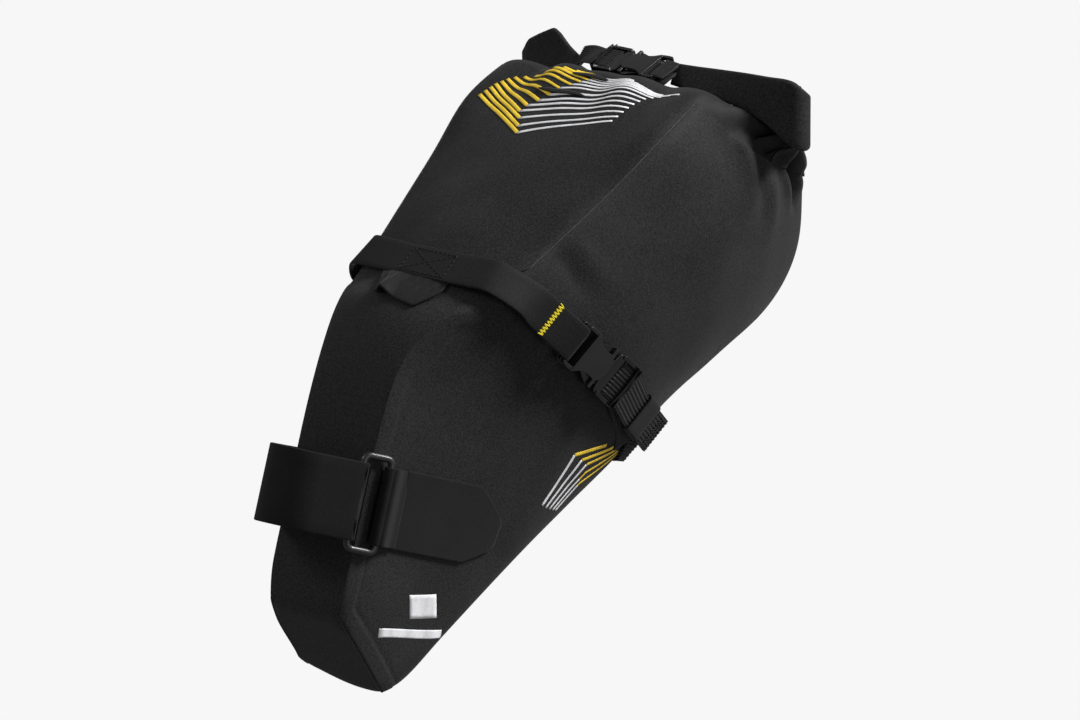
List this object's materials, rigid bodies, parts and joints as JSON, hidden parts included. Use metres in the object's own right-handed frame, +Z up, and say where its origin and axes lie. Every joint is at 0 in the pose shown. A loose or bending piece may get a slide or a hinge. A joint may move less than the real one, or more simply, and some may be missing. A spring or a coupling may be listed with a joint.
{
  "type": "roll-top saddle bag",
  "caption": "Tapered roll-top bag that hangs behind a bicycle seatpost and under the saddle, with side-release buckles and a hook-and-loop post strap.",
  "frame": {"origin": "on the seatpost's axis, at mid-height of the hook-and-loop strap that goes round it", "axes": "+Y to the rear of the bicycle, +Z up, +X to the rider's left; the seatpost leans back by 18.3 degrees from +Z towards +Y"},
  "size_m": [0.2398, 0.4591, 0.3702],
  "materials": {
    "coated_fabric": "fine matte weave with a soft coated sheen",
    "smooth_laminate": "smooth rubbery laminate, satin",
    "hook_and_loop_strap": "brushed matte with a smooth edge",
    "ribbed_webbing": "cross-ribbed woven nylon",
    "buckle_plastic": "moulded acetal, satin to glossy",
    "stiffener_sheet": "thin polyethylene sheet",
    "reflective_print": "printed stripes on coated fabric"
  },
  "bodies": {
    "bag": {"front_panel": "coated_fabric", "left_side_panel": "coated_fabric", "right_side_panel": "coated_fabric", "base_panel": "coated_fabric", "collar": "coated_fabric", "front_stiffener": "stiffener_sheet", "left_side_stiffener": "stiffener_sheet", "right_side_stiffener": "stiffener_sheet", "post_strap": "hook_and_loop_strap", "strap_ring_fold": "hook_and_loop_strap", "strap_return": "hook_and_loop_strap", "ring_anchor": "smooth_laminate", "strap_anchor": "smooth_laminate", "saddle_strap": "smooth_laminate", "front_tab": "smooth_laminate", "light_loop": "reflective_print", "base_webbing": "ribbed_webbing", "left_socket": "buckle_plastic", "right_socket": "buckle_plastic", "left_lower_webbing": "ribbed_webbing", "right_lower_webbing": "ribbed_webbing"},
    "roll_top": {"roll": "coated_fabric", "roll_stiffener": "stiffener_sheet", "left_ear": "coated_fabric", "right_ear": "coated_fabric", "left_roll_strap": "ribbed_webbing", "right_roll_strap": "ribbed_webbing", "roll_socket": "buckle_plastic"},
    "roll_top_plug": {"roll_plug": "buckle_plastic"},
    "roll_top_front_prong": {"roll_front_prong": "buckle_plastic"},
    "roll_top_rear_prong": {"roll_rear_prong": "buckle_plastic"},
    "post_strap_tail": {"strap_tail": "hook_and_loop_strap"},
    "post_strap_ring": {"strap_ring": "buckle_plastic"},
    "left_buckle_plug": {"left_plug": "buckle_plastic", "left_tail_webbing": "ribbed_webbing"},
    "left_webbing_keeper": {"left_keeper": "ribbed_webbing"},
    "left_upper_prong_arm": {"left_upper_prong": "buckle_plastic"},
    "left_lower_prong_arm": {"left_lower_prong": "buckle_plastic"},
    "right_buckle_plug": {"right_plug": "buckle_plastic", "right_tail_webbing": "ribbed_webbing"},
    "right_webbing_keeper": {"right_keeper": "ribbed_webbing"},
    "right_upper_prong_arm": {"right_upper_prong": "buckle_plastic"},
    "right_lower_prong_arm": {"right_lower_prong": "buckle_plastic"}
  },
  "joints": [
    {"name": "roll_top_lift", "type": "hinge", "parent": "bag", "child": "roll_top", "pos_m": [0, 0.3475, 0.165], "axis": [-1, 0, 0], "range_deg": [0, 30], "deforming": ["collar"]},
    {"name": "roll_top_buckle_slide", "type": "slide", "parent": "roll_top", "child": "roll_top_plug", "axis": [-1, 0, 0], "range_m": [0, 0.021], "deforming": ["right_roll_strap", "roll_front_prong", "roll_rear_prong"]},
    {"name": "roll_top_front_prong_squeeze", "type": "hinge", "parent": "roll_top_plug", "child": "roll_top_front_prong", "pos_m": [-0.00984, 0.30517, 0.21834], "axis": [0, -0.3746, 0.9272], "range_deg": [0, 9], "stiffness_Nm_per_rad": 0.12},
    {"name": "roll_top_rear_prong_squeeze", "type": "hinge", "parent": "roll_top_plug", "child": "roll_top_rear_prong", "pos_m": [-0.00984, 0.32083, 0.22466], "axis": [0, -0.3746, 0.9272], "range_deg": [-9, 0], "stiffness_Nm_per_rad": 0.12},
    {"name": "left_buckle_slide", "type": "slide", "parent": "bag", "child": "left_buckle_plug", "axis": [-0.0526, 0.7861, -0.6159], "range_m": [0, 0.026], "deforming": ["left_lower_webbing", "left_upper_prong", "left_lower_prong"]},
    {"name": "left_upper_prong_squeeze", "type": "hinge", "parent": "left_buckle_plug", "child": "left_upper_prong_arm", "pos_m": [0.08261, 0.20505, 0.06005], "axis": [0.9475, -0.1555, -0.2795], "range_deg": [0, 9], "stiffness_Nm_per_rad": 0.12},
    {"name": "left_lower_prong_squeeze", "type": "hinge", "parent": "left_buckle_plug", "child": "left_lower_prong_arm", "pos_m": [0.07611, 0.19273, 0.04488], "axis": [0.9475, -0.1555, -0.2795], "range_deg": [-9, 0], "stiffness_Nm_per_rad": 0.12},
    {"name": "left_keeper_slide", "type": "slide", "parent": "left_buckle_plug", "child": "left_webbing_keeper", "axis": [-0.3222, 0.7618, -0.562], "range_m": [-0.006, 0]},
    {"name": "right_buckle_slide", "type": "slide", "parent": "bag", "child": "right_buckle_plug", "axis": [0.0526, 0.7861, -0.6159], "range_m": [0, 0.026], "deforming": ["right_lower_webbing", "right_upper_prong", "right_lower_prong"]},
    {"name": "right_upper_prong_squeeze", "type": "hinge", "parent": "right_buckle_plug", "child": "right_upper_prong_arm", "pos_m": [-0.08261, 0.20505, 0.06005], "axis": [-0.9475, -0.1555, -0.2795], "range_deg": [-9, 0], "stiffness_Nm_per_rad": 0.12},
    {"name": "right_lower_prong_squeeze", "type": "hinge", "parent": "right_buckle_plug", "child": "right_lower_prong_arm", "pos_m": [-0.07611, 0.19273, 0.04488], "axis": [-0.9475, -0.1555, -0.2795], "range_deg": [0, 9], "stiffness_Nm_per_rad": 0.12},
    {"name": "right_keeper_slide", "type": "slide", "parent": "right_buckle_plug", "child": "right_webbing_keeper", "axis": [0.3222, 0.7618, -0.562], "range_m": [-0.006, 0]},
    {"name": "post_strap_tail_peel", "type": "hinge", "parent": "bag", "child": "post_strap_tail", "pos_m": [-0.00436, -0.02347, 0.00776], "axis": [0, 0.314, 0.9494], "range_deg": [0, 90]},
    {"name": "strap_ring_swing", "type": "hinge", "parent": "bag", "child": "post_strap_ring", "pos_m": [0.0396, 0.0319, -0.01055], "axis": [0, 0.314, 0.9494], "range_deg": [0, 25], "deforming": ["strap_ring_fold"]}
  ],
  "couplings": [
    {"joint": "roll_top_rear_prong_squeeze", "follows": "roll_top_front_prong_squeeze", "ratio": -1},
    {"joint": "left_lower_prong_squeeze", "follows": "left_upper_prong_squeeze", "ratio": -1},
    {"joint": "right_lower_prong_squeeze", "follows": "right_upper_prong_squeeze", "ratio": -1}
  ]
}
